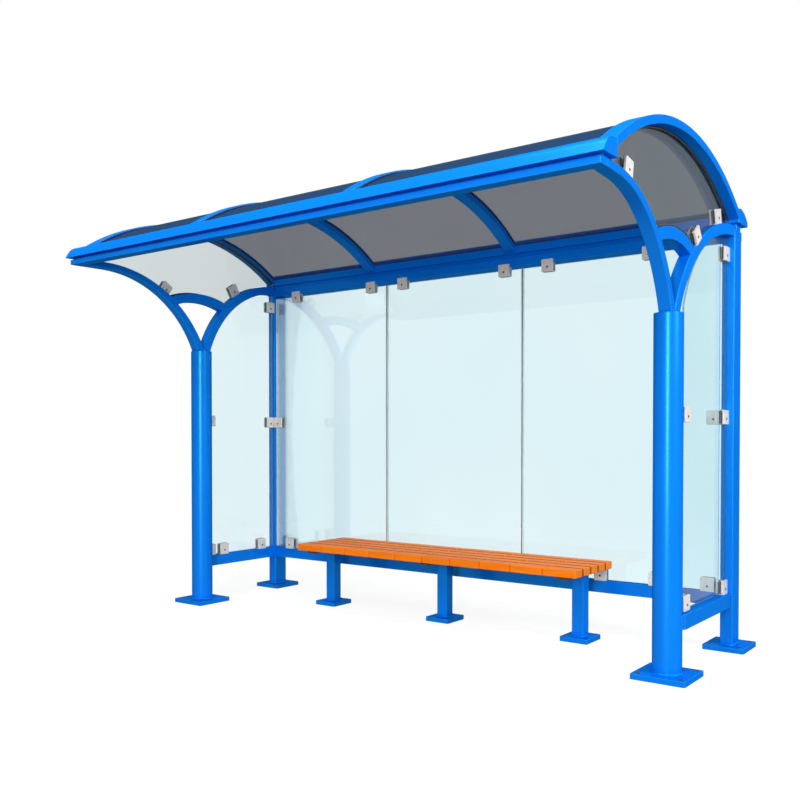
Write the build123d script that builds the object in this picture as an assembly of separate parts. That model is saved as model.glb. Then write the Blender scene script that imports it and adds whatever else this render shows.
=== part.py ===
"""Bus shelter with a barrel roof, two round columns with forked arms, glass walls and a slatted bench.

Units are millimetres, +Z up. X runs along the shelter, +X to the right seen from the front,
and -Y is the open front. The origin is on the floor, under the middle of the roof.
"""
import math
import os

from build123d import *

os.makedirs("parts", exist_ok=True)

# Overall sizes
COLUMN_SPACING = 3490.0      # between the axes of the two front columns
POST_SETBACK = 838.5         # from the column axis back to the post centre
FRONT_REACH = 1035.0         # from the column axis forward to the roof's front face
FRONT_EAVE_HEIGHT = 2362.0   # underside of the front cap
REAR_EAVE_HEIGHT = 2412.0    # underside of the rear cap
COLUMN_HEIGHT = 1830.0

# How far each part stands out beyond the column axis, along X
POST_OFFSET = 55.0
ARM_TIP_OFFSET = 55.0        # centre of the front arm at the front beam
GLASS_OFFSET = 43.0          # plane of the side and gable glass
ROOF_OFFSET = 112.0          # ends of both caps and outer faces of the end ribs

# Columns, posts and their base plates
COLUMN_DIAMETER = 148.0
COLUMN_WALL = 6.0
COLUMN_LID = 8.0
POST_WIDTH = 72.0
POST_DEPTH = 122.0
POST_WALL = 5.0
TUBE_CORNER = 6.0
PLATE_THICKNESS = 28.0
FRONT_PLATE = 280.0
REAR_PLATE_X = 230.0
REAR_PLATE_Y = 250.0
PLATE_CORNER = 6.0
BOLT_HOLE = 20.0
BOLT_EDGE = 31.0             # from a hole centre to the edges of its plate

# Caps and beams
CAP_WALL = 3.0
CAP_DEPTH_FRONT = 140.0
CAP_RISE_FRONT = 84.0        # height of the front cap
CAP_NOSE = (24.0, 38.0)      # back and up along the front cap's sloped nose
CAP_SHOULDER = (86.0, 6.0)   # end of its rounded shoulder: behind the front face, below the top
CAP_DEPTH_REAR = 165.0
CAP_FACE_REAR = 72.0         # height of the rear cap's inner face
CAP_CROWN_REAR = 82.0        # height of the rear cap's top
CAP_LIP_REAR = 24.0          # height of the rear cap's outer edge
CAP_SHOULDER_REAR = 24.0     # from the inner face to where the crown starts
BEAM_DEPTH_FRONT = 70.0
BEAM_HEIGHT_FRONT = 29.0
BEAM_INSET_FRONT = 24.0      # front beam behind the front face of the cap
GROOVE_FRONT = 13.0          # shadow gap between the front beam and the front cap
BEAM_DEPTH_REAR = POST_DEPTH
BEAM_HEIGHT_REAR = 50.0
GROOVE_REAR = 36.0
NECK_INSET = 24.0            # face of a neck behind the face of its beam
DRAIN_HOLE = 12.0
DRAIN_INSET = 400.0          # from the end of a cap or beam to its drain hole

# Roof ribs and sheets
RIB_RISE = 244.0             # crown of the arch above its feet
RIB_WIDTH = 72.0
RIB_DEPTH = 54.0
END_RIB_WIDTH = 84.0
END_RIB_DEPTH = 40.0
RIB_BAYS = (1073.0, 1177.0)  # from the left roof end to the first middle rib, and on to the next
SHEET_THICKNESS = 6.0
SHEET_COVER = 12.0           # rib material above the sheet
SHEET_BITE = 18.0            # how far a sheet edge sits in a rib
SHEET_CLEARANCE = 0.5
SLOT_SPARE = 2.0             # slot beyond the edge of a sheet
RIB_LANDING = 4.0            # top of the arch below the top of the rear cap's inner face
RIB_FOOT_SETBACK = 35.0      # front foot of the arch behind the back of the front cap

# Forked arms
ARM_WIDTH = 68.0
ARM_DEPTH = 62.0
ARM_WALL = 5.0
ARM_CHAMFER = 4.0
ARM_FOOT = 26.0              # centre line of each arm at the column lid, from the column axis
FRONT_ARM_LEVEL = 150.0      # straight level length behind the front beam
FRONT_ARM_DROP = 1.0         # top of the front arm below the front cap
REAR_ARM_DROP = 13.0         # top of the rear arm below the rear cap
REAR_ARM_OVERRUN = 12.0      # crown of the rear arm's arc behind the rear beam's face
BRACE_RADIUS = 655.0
BRACE_AXIS_Y = -20.0
BRACE_DROP = 200.0           # centre line of the brace at its crown, below the rear cap
BRACE_DEPTH = 62.0
BRACE_WIDTH = 64.0

# Glass
GLASS = 10.0
GLASS_JOINT = 8.0
BACK_PANES = (1128.0, 1116.0)  # from the left post to the first joint, and on to the next
BACK_GLASS_INSET = 8.0         # back glass behind the posts' front faces
GLASS_LIFT = 10.0              # glass above the rails
GLASS_TOP_GAP = 22.0
GLASS_EDGE_GAP = 12.0
SIDE_GLASS_GAP = 8.0           # side glass below the rear arm
GABLE_GAP = 4.0                # gable glass above the arms and the brace
GABLE_BITE = 4.0               # gable glass inside the rib's groove
GABLE_GROOVE = 6.5
GABLE_SLACK = 2.0              # groove beyond each face of the glass

# Rails between the posts and the columns
RAIL_TOP = 322.0
RAIL_HEIGHT = 76.0
RAIL_DEPTH = 50.0
SIDE_RAIL_WIDTH = 64.0
SIDE_RAIL_INSET = 8.0        # outer face of a side rail inside the post's outer face
SIDE_RAIL_START = 30.0       # front end of a side rail behind the column axis
RAIL_WALL = 4.0

# Bench
BENCH_X = 44.0               # centre of the bench
BENCH_LENGTH = 2148.0
BENCH_GAP = 5.0              # rear edge of the seat in front of the back wall's clamps
SEAT_HEIGHT = 450.0
SLAT_WIDTH = 93.0
SLAT_GAP = 10.0
SLAT_THICKNESS = 46.0
SLAT_EDGE = 4.0
SLAT_COUNT = 5
LEG = 76.0
LEG_WALL = 4.0
LEG_SPACING = 970.0
LEG_SHIFT = 14.0             # middle leg to the right of the centre of the bench
LEG_PLATE_X = 175.0
LEG_PLATE_Y = 195.0
LEG_HOLE = 14.0
LEG_BOLT_EDGE = 22.0
BEARER_THICKNESS = 10.0
BEARER_WIDTH = 60.0
BEARER_INSET = 12.0          # ends of a bearer inside the seat's edges

# Glass clamps
CLAMP = 80.0
CLAMP_THICKNESS = 40.0
CLAMP_SLOT = 11.0
CLAMP_CHAMFER = 4.0
CLAMP_LAP = 18.0             # part of a top clamp that stands in front of the beam
COLUMN_SEAT = 14.0           # extra length of a clamp that is cut to the column
ARM_SEAT = 8.0               # extra length of a clamp that is cut to an arm
SLOT_CLEARANCE = 2.0         # slot beyond the edge of the glass
# Each pair is a line (0 left post, 1 and 2 glass joints, 3 right post) and a distance from it
BEAM_CLAMPS = ((0, 237.0), (1, -144.0), (1, 146.0), (2, -133.0), (2, 186.0), (3, -428.0))
RAIL_CLAMPS = ((0, 164.0), (1, -149.0), (1, 151.0), (2, -133.0), (3, -728.0), (3, -379.0), (3, -70.0))
POST_CLAMP_HEIGHTS = (1320.0,)
SIDE_POST_CLAMP_HEIGHTS = (1320.0, 2235.0)
COLUMN_CLAMP_HEIGHT = 1325.0
COLUMN_CLAMP_LIFT = 4.0      # lower clamp of a column above the side rail
# Each pair is an end of a side rail (-1 column axis, 1 post face) and a clearance from it along the rail
SIDE_RAIL_CLAMPS_LEFT = ((-1, 202.0), (1, 102.0))
SIDE_RAIL_CLAMPS_RIGHT = ((1, 6.0),)
# Each pair is a side of the column axis (-1 front, 1 rear) and a clearance from that end of the brace
GABLE_CLAMPS_LEFT = ((-1, 8.0), (1, 120.0))
GABLE_CLAMPS_RIGHT = ((-1, 375.0), (1, 4.0), (1, 362.0))

# Derived positions. Y values are measured from the column axis and shifted by Y0 when placed.
REAR_FACE_Y = POST_SETBACK - POST_DEPTH / 2
Y0 = (FRONT_REACH - REAR_FACE_Y - CAP_DEPTH_REAR) / 2
COLUMN_X = COLUMN_SPACING / 2
POST_X = COLUMN_X + POST_OFFSET
POST_INNER_X = POST_X - POST_WIDTH / 2
GLASS_X = COLUMN_X + GLASS_OFFSET
ROOF_END_X = COLUMN_X + ROOF_OFFSET
END_RIB_X = ROOF_END_X - END_RIB_WIDTH / 2
RIB_1_X = -ROOF_END_X + RIB_BAYS[0]
RIB_2_X = RIB_1_X + RIB_BAYS[1]
FRONT_CAP_BACK_Y = -FRONT_REACH + CAP_DEPTH_FRONT
FRONT_BEAM_Y = -FRONT_REACH + BEAM_INSET_FRONT
FRONT_BEAM_BACK_Y = FRONT_BEAM_Y + BEAM_DEPTH_FRONT
FRONT_BEAM_TOP = FRONT_EAVE_HEIGHT - GROOVE_FRONT
REAR_BEAM_TOP = REAR_EAVE_HEIGHT - GROOVE_REAR
POST_TOP = REAR_BEAM_TOP - BEAM_HEIGHT_REAR
BACK_GLASS_Y = REAR_FACE_Y + BACK_GLASS_INSET
GLASS_BOTTOM = RAIL_TOP + GLASS_LIFT
JOINT_1_X = -POST_INNER_X + BACK_PANES[0]
JOINT_2_X = JOINT_1_X + BACK_PANES[1]
SEAT_DEPTH = SLAT_COUNT * SLAT_WIDTH + (SLAT_COUNT - 1) * SLAT_GAP
BENCH_FRONT = BACK_GLASS_Y - CLAMP_THICKNESS / 2 - BENCH_GAP - SEAT_DEPTH
LEG_Y = BENCH_FRONT + SEAT_DEPTH / 2

# The arch lands at one height on the rear cap and a little behind the front cap
RIB_FOOT_Z = REAR_EAVE_HEIGHT + CAP_FACE_REAR - RIB_LANDING
RIB_FOOT_Y = FRONT_CAP_BACK_Y + RIB_FOOT_SETBACK
RIB_AXIS_Y = (RIB_FOOT_Y + REAR_FACE_Y) / 2
RIB_RADIUS = ((REAR_FACE_Y - RIB_AXIS_Y) ** 2 + RIB_RISE**2) / (2 * RIB_RISE)
RIB_AXIS_Z = RIB_FOOT_Z + RIB_RISE - RIB_RADIUS


def arc_radius(run, rise):
    """Radius of the arc that is level at its top and passes a point run away and rise below."""
    return (run**2 + rise**2) / (2 * rise)


# Each arm is one arc from the column lid up to a level top
FRONT_ARM_Y = FRONT_BEAM_BACK_Y + FRONT_ARM_LEVEL
FRONT_ARM_Z = FRONT_EAVE_HEIGHT - FRONT_ARM_DROP - ARM_DEPTH / 2
FRONT_ARM_RADIUS = arc_radius(-ARM_FOOT - FRONT_ARM_Y, FRONT_ARM_Z - COLUMN_HEIGHT)
REAR_ARM_Y = REAR_FACE_Y + REAR_ARM_OVERRUN
REAR_ARM_Z = REAR_EAVE_HEIGHT - REAR_ARM_DROP - ARM_DEPTH / 2
REAR_ARM_RADIUS = arc_radius(REAR_ARM_Y - ARM_FOOT, REAR_ARM_Z - COLUMN_HEIGHT)
FRONT_LEAN = -ARM_TIP_OFFSET / -FRONT_BEAM_BACK_Y
REAR_LEAN = POST_OFFSET / REAR_FACE_Y

# The front arm thins towards the beam: its underside is an arc of its own, flush with the beam's at its top
FRONT_UNDER_Z = FRONT_BEAM_TOP - BEAM_HEIGHT_FRONT
FRONT_UNDER_RUN = math.sqrt((FRONT_ARM_RADIUS - ARM_DEPTH / 2) ** 2
                            - (COLUMN_HEIGHT - FRONT_ARM_Z + FRONT_ARM_RADIUS) ** 2)
FRONT_UNDER_RADIUS = arc_radius(FRONT_UNDER_RUN, FRONT_UNDER_Z - COLUMN_HEIGHT)
BRACE_Z = REAR_EAVE_HEIGHT - BRACE_DROP - BRACE_RADIUS
BRACE_X = COLUMN_X + ARM_TIP_OFFSET * BRACE_RADIUS / 3 / -FRONT_BEAM_BACK_Y


def disk(y, z, radius):
    """Round face in the YZ plane."""
    return Pos(y, z) * Circle(radius)


def block(y0, y1, z0, z1):
    """Rectangular face in the YZ plane."""
    return Pos((y0 + y1) / 2, (z0 + z1) / 2) * Rectangle(y1 - y0, z1 - z0)


def bar(face, x0, x1):
    """A YZ face drawn out along X."""
    return extrude(Plane((x0, Y0, 0), x_dir=(0, 1, 0), z_dir=(1, 0, 0)) * face, x1 - x0)


def leaning(face, lean, width):
    """A YZ face drawn out in an upright plane through the right column that leans out with Y."""
    normal = Vector(1, -lean, 0).normalized()
    plane = Plane(Vector(COLUMN_X, Y0, 0) - normal * (width / 2), x_dir=(lean, 1, 0), z_dir=normal)
    return extrude(plane * face, width)


def box(x0, x1, y0, y1, z0, z1):
    """Box from its six limits, Y from the column axis."""
    return Pos((x0 + x1) / 2, (y0 + y1) / 2 + Y0, (z0 + z1) / 2) * Box(x1 - x0, y1 - y0, z1 - z0)


def save(name, *solids):
    """Write one node."""
    shape = solids[0] if len(solids) == 1 else Compound(children=list(solids))
    export_step(shape, f"parts/{name}.step")


def save_pair(name, *solids):
    """Write a node for the right end and its mirror image for the left end."""
    save(f"{name}_right", *solids)
    save(f"{name}_left", *[mirror(solid, Plane.YZ) for solid in solids])


def base_plate(x, y, size_x, size_y, edge, hole):
    """Rectangular plate with a bolt hole in each corner."""
    plate = fillet(Box(size_x, size_y, PLATE_THICKNESS).edges().filter_by(Axis.Z), PLATE_CORNER)
    grid = GridLocations(size_x - 2 * edge, size_y - 2 * edge, 2, 2)
    plate = plate - grid * Cylinder(hole / 2, PLATE_THICKNESS)
    return Pos(x, y + Y0, PLATE_THICKNESS / 2) * plate


def column():
    """Round tube closed by a welded lid with a rounded rim."""
    height = COLUMN_HEIGHT - PLATE_THICKNESS
    tube = Cylinder(COLUMN_DIAMETER / 2, height)
    tube = fillet(tube.edges().group_by(Axis.Z)[-1], 3)
    bore = Pos(0, 0, -COLUMN_LID / 2) * Cylinder(COLUMN_DIAMETER / 2 - COLUMN_WALL, height - COLUMN_LID)
    return Pos(COLUMN_X, Y0, PLATE_THICKNESS + height / 2) * (tube - bore)


def rect_tube(width, depth, wall, z0, z1):
    """Upright rectangular tube with rounded outer corners."""
    outer = RectangleRounded(width, depth, TUBE_CORNER)
    inner = Rectangle(width - 2 * wall, depth - 2 * wall)
    return Pos(0, 0, z0) * extrude(outer - inner, z1 - z0)


def arm_band(side, inset):
    """YZ face of an arm, all but its ends drawn in by the inset."""
    if side < 0:
        y, z = FRONT_ARM_Y, FRONT_ARM_Z - FRONT_ARM_RADIUS
        upper = disk(y, z, FRONT_ARM_RADIUS + ARM_DEPTH / 2 - inset)
        lower = disk(y, FRONT_UNDER_Z - FRONT_UNDER_RADIUS, FRONT_UNDER_RADIUS + inset)
        top = FRONT_ARM_Z + ARM_DEPTH / 2 - inset
        level = block(FRONT_BEAM_BACK_Y - ARM_WIDTH, y, FRONT_UNDER_Z + inset, top)
        return ((upper - lower) & block(y, 0, COLUMN_HEIGHT, top)) + level
    y, z, half = REAR_ARM_Y, REAR_ARM_Z - REAR_ARM_RADIUS, ARM_DEPTH / 2 - inset
    reach = block(0, y, COLUMN_HEIGHT, REAR_ARM_Z + half)
    return (disk(y, z, REAR_ARM_RADIUS + half) - disk(y, z, REAR_ARM_RADIUS - half)) & reach


def arm(side, lean, y0, y1):
    """Curved hollow arm with closed ends, cut square to the beam it meets and to the other arm."""
    outer = leaning(arm_band(side, 0), lean, ARM_WIDTH)
    outer = chamfer(outer.edges().filter_by(GeomType.CIRCLE), ARM_CHAMFER)
    inner = leaning(arm_band(side, ARM_WALL), lean, ARM_WIDTH - 2 * ARM_WALL)
    x0, x1, z0, z1 = COLUMN_X - 500, COLUMN_X + 500, COLUMN_HEIGHT, COLUMN_HEIGHT + 1000
    inner = inner & box(x0, x1, y0 + ARM_WALL, y1 - ARM_WALL, z0, z1)
    return (outer & box(x0, x1, y0, y1, z0, z1)) - inner


def below_arms(gap, width):
    """Everything from the upper faces of both arms down, grown by a gap."""
    top = ARM_DEPTH / 2 + gap
    y, z = FRONT_ARM_Y, FRONT_ARM_Z - FRONT_ARM_RADIUS
    front = disk(y, z, FRONT_ARM_RADIUS + top) & block(y, 0, 0, FRONT_ARM_Z + top)
    front = front + block(-FRONT_REACH, y, 0, FRONT_ARM_Z + top)
    y, z = REAR_ARM_Y, REAR_ARM_Z - REAR_ARM_RADIUS
    rear = disk(y, z, REAR_ARM_RADIUS + top) & block(0, y, 0, REAR_ARM_Z + top)
    return leaning(front, FRONT_LEAN, width) + leaning(rear, REAR_LEAN, width)


def brace():
    """Arc between the two arms, cut to the curves of their upper faces."""
    half = BRACE_DEPTH / 2
    ring = disk(BRACE_AXIS_Y, BRACE_Z, BRACE_RADIUS + half) - disk(BRACE_AXIS_Y, BRACE_Z, BRACE_RADIUS - half)
    face = ring & block(-BRACE_RADIUS, BRACE_RADIUS, COLUMN_HEIGHT, REAR_EAVE_HEIGHT)
    solid = bar(face, BRACE_X - BRACE_WIDTH / 2, BRACE_X + BRACE_WIDTH / 2)
    return solid - below_arms(0, 3 * ARM_WIDTH)


def front_cap_face():
    """Section of the front cap: sloped nose, rounded shoulder, nearly flat top, upright back."""
    y0, y1 = -FRONT_REACH, FRONT_CAP_BACK_Y
    z0, z1 = FRONT_EAVE_HEIGHT, FRONT_EAVE_HEIGHT + CAP_RISE_FRONT
    nose = Line((y0, z0), (y0 + CAP_NOSE[0], z0 + CAP_NOSE[1]))
    shoulder = TangentArc(nose @ 1, (y0 + CAP_SHOULDER[0], z1 - CAP_SHOULDER[1]), tangent=nose % 1)
    top = Line(shoulder @ 1, (y1, z1))
    return make_face([nose, shoulder, top, Line((y1, z1), (y1, z0)), Line((y1, z0), (y0, z0))])


def rear_cap_face():
    """Section of the rear cap: upright inner face and a crown that rounds over to the outer lip."""
    y0, y1 = REAR_FACE_Y, REAR_FACE_Y + CAP_DEPTH_REAR
    z0 = REAR_EAVE_HEIGHT
    crown_z = z0 + CAP_CROWN_REAR
    rise = Line((y0, z0 + CAP_FACE_REAR), (y0 + CAP_SHOULDER_REAR, crown_z))
    crown = TangentArc(rise @ 1, (y1, z0 + CAP_LIP_REAR), tangent=(1, 0))
    lip, under = Line(crown @ 1, (y1, z0)), Line((y1, z0), (y0, z0))
    return make_face([Line((y0, z0), rise @ 0), rise, crown, lip, under])


def hollow_bar(face, half_length, drain_y, drain_z):
    """Thin-walled bar along X with closed ends and two drain holes through its underside."""
    solid = bar(face, -half_length, half_length)
    solid = solid - bar(offset(face, -CAP_WALL), CAP_WALL - half_length, half_length - CAP_WALL)
    for x in (DRAIN_INSET - half_length, half_length - DRAIN_INSET):
        solid = solid - Pos(x, drain_y + Y0, drain_z) * Cylinder(DRAIN_HOLE / 2, 4 * CAP_WALL)
    return solid


def front_beam():
    """Flat hollow beam under the front cap, with the narrower neck that makes the shadow gap."""
    y0, y1 = FRONT_BEAM_Y, FRONT_BEAM_BACK_Y
    z1 = FRONT_BEAM_TOP
    face = block(y0, y1, z1 - BEAM_HEIGHT_FRONT, z1) + block(y0 + NECK_INSET, y1, z1, FRONT_EAVE_HEIGHT)
    half_length = COLUMN_X + ARM_TIP_OFFSET + ARM_WIDTH / 2
    return hollow_bar(face, half_length, (y0 + y1) / 2, z1 - BEAM_HEIGHT_FRONT)


def rear_beam():
    """Hollow beam over the rear posts, with a recessed neck under the rear cap."""
    y0, y1 = REAR_FACE_Y, REAR_FACE_Y + BEAM_DEPTH_REAR
    z1 = REAR_BEAM_TOP
    face = block(y0, y1, POST_TOP, z1) + block(y0 + NECK_INSET, y1 - NECK_INSET, z1, REAR_EAVE_HEIGHT)
    return hollow_bar(face, POST_X + POST_WIDTH / 2, (y0 + y1) / 2, POST_TOP)


def arch_band(outer, inner):
    """Part of the roof arch between two radii, from the front cap to the rear cap."""
    ring = disk(RIB_AXIS_Y, RIB_AXIS_Z, outer) - disk(RIB_AXIS_Y, RIB_AXIS_Z, inner)
    span = block(-FRONT_REACH + CAP_SHOULDER[0], REAR_FACE_Y, FRONT_EAVE_HEIGHT, RIB_AXIS_Z + 2 * RIB_RADIUS)
    return (ring & span) - front_cap_face()


def rib(x, width, depth, slot_sides):
    """Arched rib with a slot for the roof sheet in each side named."""
    solid = bar(arch_band(RIB_RADIUS, RIB_RADIUS - depth), x - width / 2, x + width / 2)
    top = RIB_RADIUS - SHEET_COVER
    slot = disk(RIB_AXIS_Y, RIB_AXIS_Z, top + SHEET_CLEARANCE) - disk(
        RIB_AXIS_Y, RIB_AXIS_Z, top - SHEET_THICKNESS - SHEET_CLEARANCE)
    for side in slot_sides:
        edge = x + side * width / 2
        inner = edge - side * (SHEET_BITE + SLOT_SPARE)
        solid = solid - bar(slot, min(edge, inner), max(edge, inner))
    return solid


def end_rib():
    """Rib at a gable: a slot for the roof sheet and a groove below for the gable glass."""
    solid = rib(END_RIB_X, END_RIB_WIDTH, END_RIB_DEPTH, (-1,))
    inner = RIB_RADIUS - END_RIB_DEPTH
    groove = disk(RIB_AXIS_Y, RIB_AXIS_Z, inner + GABLE_GROOVE) - disk(RIB_AXIS_Y, RIB_AXIS_Z, inner - 1)
    half = GLASS / 2 + GABLE_SLACK
    return solid - bar(groove, GLASS_X - half, GLASS_X + half)


def roof_sheet(x0, x1):
    """Curved roof sheet between two ribs."""
    outer = RIB_RADIUS - SHEET_COVER
    return bar(arch_band(outer, outer - SHEET_THICKNESS), x0, x1)


def gable_glass():
    """Pane that fills the space between the arch, the arms and the brace."""
    arch = disk(RIB_AXIS_Y, RIB_AXIS_Z, RIB_RADIUS - END_RIB_DEPTH + GABLE_BITE)
    y0, y1 = FRONT_CAP_BACK_Y + GABLE_GAP, REAR_FACE_Y - GABLE_GAP
    face = arch & block(y0, y1, COLUMN_HEIGHT, RIB_AXIS_Z + RIB_RADIUS)
    face = face - disk(BRACE_AXIS_Y, BRACE_Z, BRACE_RADIUS + BRACE_DEPTH / 2 + GABLE_GAP)
    pane = bar(face, GLASS_X - GLASS / 2, GLASS_X + GLASS / 2) - below_arms(GABLE_GAP, 3 * ARM_WIDTH)
    return pane.solids().sort_by(SortBy.VOLUME)[-1]


def side_glass():
    """Pane between the column and the rear post, its top cut to the curve of the rear arm."""
    y0, y1 = COLUMN_DIAMETER / 2 + GLASS_EDGE_GAP, REAR_FACE_Y - GLASS_EDGE_GAP
    under = disk(REAR_ARM_Y, REAR_ARM_Z - REAR_ARM_RADIUS, REAR_ARM_RADIUS - ARM_DEPTH / 2 - SIDE_GLASS_GAP)
    face = block(y0, y1, GLASS_BOTTOM, COLUMN_HEIGHT) + (under & block(y0, y1, COLUMN_HEIGHT - 1, REAR_ARM_Z))
    return bar(face, GLASS_X - GLASS / 2, GLASS_X + GLASS / 2)


def back_glass(x0, x1):
    """Flat pane of the back wall."""
    y0, y1 = BACK_GLASS_Y - GLASS / 2, BACK_GLASS_Y + GLASS / 2
    return box(x0, x1, y0, y1, GLASS_BOTTOM, POST_TOP - GLASS_TOP_GAP)


def back_rail():
    """Hollow rail between the rear posts, flush with their front faces."""
    y0, y1 = REAR_FACE_Y, REAR_FACE_Y + RAIL_DEPTH
    z0, z1 = RAIL_TOP - RAIL_HEIGHT, RAIL_TOP
    w = RAIL_WALL
    return bar(block(y0, y1, z0, z1) - block(y0 + w, y1 - w, z0 + w, z1 - w), -POST_INNER_X, POST_INNER_X)


def side_rail():
    """Hollow rail from the column back to the post, its closed front end cut to the round column."""
    z0, z1 = RAIL_TOP - RAIL_HEIGHT, RAIL_TOP
    outer = POST_X + POST_WIDTH / 2 - SIDE_RAIL_INSET
    inner = outer - SIDE_RAIL_WIDTH
    w = RAIL_WALL
    rail = box(inner, outer, SIDE_RAIL_START, REAR_FACE_Y, z0, z1)
    rail = rail - box(inner + w, outer - w, SIDE_RAIL_START + w, REAR_FACE_Y + 1, z0 + w, z1 - w)
    return rail - Pos(COLUMN_X, Y0, (z0 + z1) / 2) * Cylinder(COLUMN_DIAMETER / 2, 2 * RAIL_HEIGHT)


def bench_leg(x):
    """Base plate, square tube and flat bearer of the bench, welded into one piece."""
    top = SEAT_HEIGHT - SLAT_THICKNESS
    plate = base_plate(x, LEG_Y, LEG_PLATE_X, LEG_PLATE_Y, LEG_BOLT_EDGE, LEG_HOLE)
    tube = Pos(x, LEG_Y + Y0, 0) * rect_tube(LEG, LEG, LEG_WALL, PLATE_THICKNESS, top - BEARER_THICKNESS)
    reach = SEAT_DEPTH / 2 - BEARER_INSET
    bearer = box(x - BEARER_WIDTH / 2, x + BEARER_WIDTH / 2, LEG_Y - reach, LEG_Y + reach,
                 top - BEARER_THICKNESS, top)
    return plate + tube + bearer


def bench_slats():
    """Long timber slats with eased edges."""
    slat = Box(BENCH_LENGTH, SLAT_WIDTH, SLAT_THICKNESS)
    slat = fillet(slat.edges().filter_by(Axis.X), SLAT_EDGE)
    first = BENCH_FRONT + SLAT_WIDTH / 2 + Y0
    pitch = SLAT_WIDTH + SLAT_GAP
    z = SEAT_HEIGHT - SLAT_THICKNESS / 2
    return [Pos(BENCH_X, first + i * pitch, z) * slat for i in range(SLAT_COUNT)]


def clamp(gap, seat=0.0):
    """Clamp standing on z=0 with the glass in its XZ plane, the glass edge one gap above its foot.

    The seat is extra length below z=0, cut away later to fit a curved foot.
    """
    body = Pos(0, 0, (CLAMP - seat) / 2) * Box(CLAMP, CLAMP_THICKNESS, CLAMP + seat)
    body = chamfer(body.edges().filter_by(Axis.Y), CLAMP_CHAMFER)
    slot = box(-CLAMP, CLAMP, -CLAMP_SLOT / 2 - Y0, CLAMP_SLOT / 2 - Y0, gap - SLOT_CLEARANCE, 2 * CLAMP)
    return body - slot


def beam_clamp(x):
    """Clamp under the rear beam, its upper end lapping the beam's front face."""
    hanging = Rot(180, 0, 0) * clamp(GLASS_TOP_GAP + CLAMP_LAP)
    solid = Pos(x, BACK_GLASS_Y + Y0, POST_TOP + CLAMP_LAP) * hanging
    beam = box(x - CLAMP, x + CLAMP, REAR_FACE_Y, REAR_FACE_Y + CLAMP, POST_TOP, POST_TOP + CLAMP)
    return solid - beam


def back_clamps():
    """Clamps of the back wall, under the beam, on the rail and on the inner faces of the posts."""
    y = BACK_GLASS_Y + Y0
    lines = (-POST_INNER_X, JOINT_1_X, JOINT_2_X, POST_INNER_X)
    solids = [beam_clamp(lines[i] + dx) for i, dx in BEAM_CLAMPS]
    solids += [Pos(lines[i] + dx, y, RAIL_TOP) * clamp(GLASS_LIFT) for i, dx in RAIL_CLAMPS]
    for z in POST_CLAMP_HEIGHTS:
        for side in (-1, 1):
            solids.append(Pos(side * POST_INNER_X, y, z) * Rot(0, -90 * side, 0) * clamp(GLASS_EDGE_GAP))
    return solids


def side_clamps(places):
    """Clamps of a side pane, on the post, on the column and at the places named on the rail."""
    turned = Rot(0, 0, 90)
    solids = [Pos(GLASS_X, REAR_FACE_Y + Y0, z) * Rot(90, 0, 0) * turned * clamp(GLASS_EDGE_GAP)
              for z in SIDE_POST_CLAMP_HEIGHTS]
    for end, clearance in places:
        distance = CLAMP / 2 + clearance
        y = distance if end < 0 else REAR_FACE_Y - distance
        solids.append(Pos(GLASS_X, y + Y0, RAIL_TOP) * turned * clamp(GLASS_LIFT))
    radius = COLUMN_DIAMETER / 2
    for z in (RAIL_TOP + COLUMN_CLAMP_LIFT + CLAMP / 2, COLUMN_CLAMP_HEIGHT):
        foot = Pos(GLASS_X, radius + Y0, z) * Rot(-90, 0, 0) * turned * clamp(GLASS_EDGE_GAP, COLUMN_SEAT)
        solids.append(foot - Pos(COLUMN_X, Y0, z) * Cylinder(radius, 2 * CLAMP))
    return solids


def meeting_angle(axis_y, axis_z, radius, other_y, other_z, other_radius):
    """Angle from the vertical, at the first circle's axis, of the higher point where two circles meet."""
    dy, dz = other_y - axis_y, other_z - axis_z
    apart = math.hypot(dy, dz)
    swing = math.acos((apart**2 + radius**2 - other_radius**2) / (2 * apart * radius))
    return min((math.atan2(dy, dz) + swing, math.atan2(dy, dz) - swing), key=abs)


def gable_clamps(places):
    """Clamps of a gable pane, square to the upper faces of the arms and cut to them."""
    solids = []
    arms = below_arms(0, 3 * ARM_WIDTH)
    for side, clearance in places:
        if side < 0:
            axis_y, axis_z, radius = FRONT_ARM_Y, FRONT_ARM_Z - FRONT_ARM_RADIUS, FRONT_ARM_RADIUS
        else:
            axis_y, axis_z, radius = REAR_ARM_Y, REAR_ARM_Z - REAR_ARM_RADIUS, REAR_ARM_RADIUS
        radius += ARM_DEPTH / 2
        angle = meeting_angle(axis_y, axis_z, radius, BRACE_AXIS_Y, BRACE_Z, BRACE_RADIUS + BRACE_DEPTH / 2)
        angle += side * (CLAMP / 2 + clearance) / radius
        y = axis_y + radius * math.sin(angle)
        z = axis_z + radius * math.cos(angle)
        body = Rot(-math.degrees(angle), 0, 0) * Rot(0, 0, 90) * clamp(GABLE_GAP, ARM_SEAT)
        solids.append(Pos(GLASS_X, y + Y0, z) * body - arms)
    return solids


save_pair("front_base_plate", base_plate(COLUMN_X, 0, FRONT_PLATE, FRONT_PLATE, BOLT_EDGE, BOLT_HOLE))
rear_plate = base_plate(POST_X, POST_SETBACK, REAR_PLATE_X, REAR_PLATE_Y, BOLT_EDGE, BOLT_HOLE)
save_pair("rear_base_plate", rear_plate)
save_pair("front_column", column())
post = rect_tube(POST_WIDTH, POST_DEPTH, POST_WALL, PLATE_THICKNESS, POST_TOP)
save_pair("rear_post", Pos(POST_X, POST_SETBACK + Y0, 0) * post)
save_pair("front_arm", arm(-1, FRONT_LEAN, FRONT_BEAM_BACK_Y, 0))
save_pair("rear_arm", arm(1, REAR_LEAN, 0, REAR_FACE_Y))
save_pair("arm_brace", brace())
save_pair("roof_rib_end", end_rib())
save_pair("gable_glass", gable_glass())
save_pair("side_glass", side_glass())
save_pair("side_rail", side_rail())
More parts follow.
